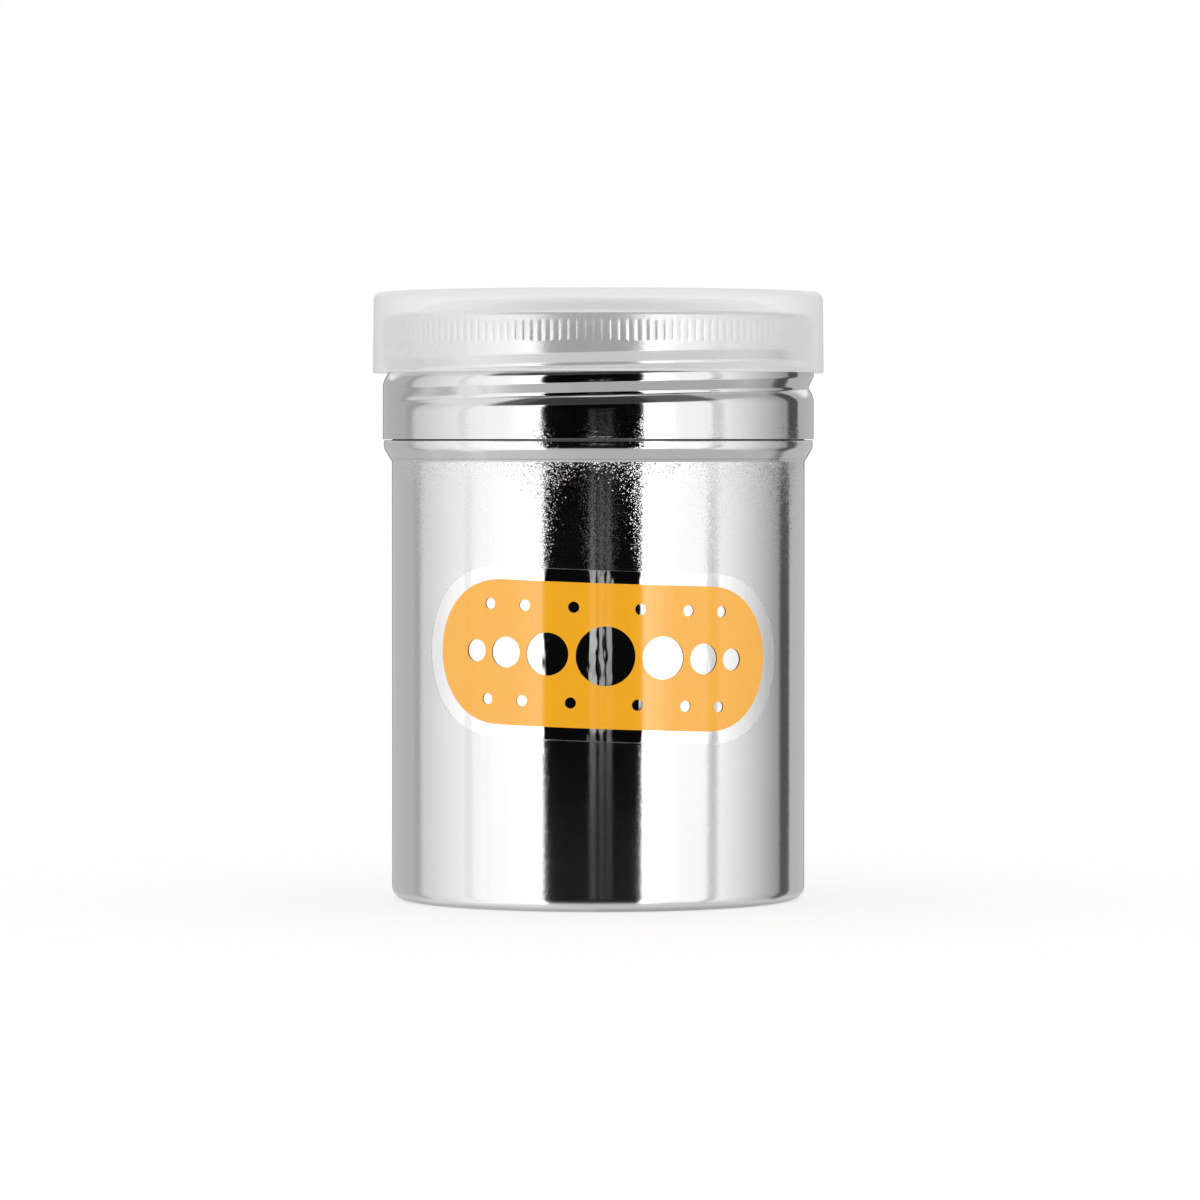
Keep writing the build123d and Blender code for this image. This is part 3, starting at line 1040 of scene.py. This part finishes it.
def studio():
    """The light all round: white to the camera, plain white to matt surfaces, panels to shiny ones."""
    world = bpy.data.worlds.new("studio")
    bpy.context.scene.world = world
    world.use_nodes = True
    world.cycles.sampling_method = "NONE"
    graph = Graph(world.node_tree)
    way = graph.add("ShaderNodeTexCoord").outputs["Generated"]
    x, y, z = graph.add("ShaderNodeSeparateXYZ", {0: way}).outputs
    azimuth = graph.math("DEGREES", graph.math("ARCTAN2", x, graph.times(y, -1.0)))
    rise = graph.math("DEGREES", graph.math("ARCSINE", z))
    level = panels(graph, azimuth, rise)
    level = overhead(graph, azimuth, rise, level)
    level = underneath(graph, azimuth, rise, level)
    shiny = graph.add("ShaderNodeLightPath").outputs["Is Glossy Ray"]
    strength = graph.blend(shiny, 1.0, level)
    sky = graph.add("ShaderNodeBackground", {"Color": grey(1.0), "Strength": strength})
    graph.add("ShaderNodeOutputWorld", {"Surface": sky.outputs[0]})


def floor():
    """A wide pale floor with a light shadow, which the steel doesn't mirror."""
    material, graph = new_material("floor_white")
    point, _, _ = graph.place()
    colour = graph.tint(graph.noise(point, 60.0, 2.0), grey(0.995), grey(1.0))
    matt = graph.add("ShaderNodeBsdfDiffuse", {"Color": colour}).outputs[0]
    seen = graph.add("ShaderNodeLightPath").outputs["Is Camera Ray"]
    white = graph.add("ShaderNodeEmission", {"Color": grey(1.0), "Strength": 1.0}).outputs[0]
    graph.finish(graph.mixed(graph.times(seen, FLOOR_GLOW), matt, white))
    mesh = bpy.data.meshes.new("floor")
    side = FLOOR_REACH * MM
    corners = [(-side, -side, 0), (side, -side, 0), (side, side, 0), (-side, side, 0)]
    mesh.from_pydata(corners, [], [(0, 1, 2, 3)])
    mesh.materials.append(material)
    made = bpy.data.objects.new("floor", mesh)
    bpy.context.scene.collection.objects.link(made)
    made.visible_glossy = False


def camera():
    """A long lens at the height of the bead."""
    data = bpy.data.cameras.new("camera")
    data.lens = CAMERA_LENS
    data.sensor_width = SENSOR
    made = bpy.data.objects.new("camera", data)
    bpy.context.scene.collection.objects.link(made)
    made.location = Vector(CAMERA_PLACE) * MM
    way = (Vector(CAMERA_TARGET) - Vector(CAMERA_PLACE)).normalized()
    made.rotation_euler = way.to_track_quat("-Z", "Y").to_euler()
    bpy.context.scene.camera = made


# ---- The object -----------------------------------------------------------------------------

camera()
studio()
floor()
piece("can", can_shell(), [can_steel()], "can", "can_body")
piece("sifter_cap", cap_shell(), [cap_steel()], "cap", "shaker_cap")
clear = clear_side()
cover = [cover_plastic(), clear]
piece("slip_cover", cover_shell(), cover, "cover", "dust_cover")
film = [film_plastic(), clear, film_edge()]
film_shell = wrapped_shell(FILM_LENGTH, FILM_WIDTH, CAN_RADIUS, FILM_THICKNESS)
piece("clear_film", film_shell, film, "can", "label_film", skin=True)
ink = 3 * [orange_ink()]
print_radius = CAN_RADIUS + FILM_THICKNESS
print_shell = wrapped_shell(PRINT_LENGTH, PRINT_WIDTH, print_radius, PRINT_THICKNESS, bare_dots())
piece("orange_print", print_shell, ink, "can", "label_print", skin=True)
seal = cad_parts["cap_seal"]
seal.data.materials.clear()
seal.data.materials.append(seal_rubber())

bpy.context.scene.view_settings.view_transform = "Standard"
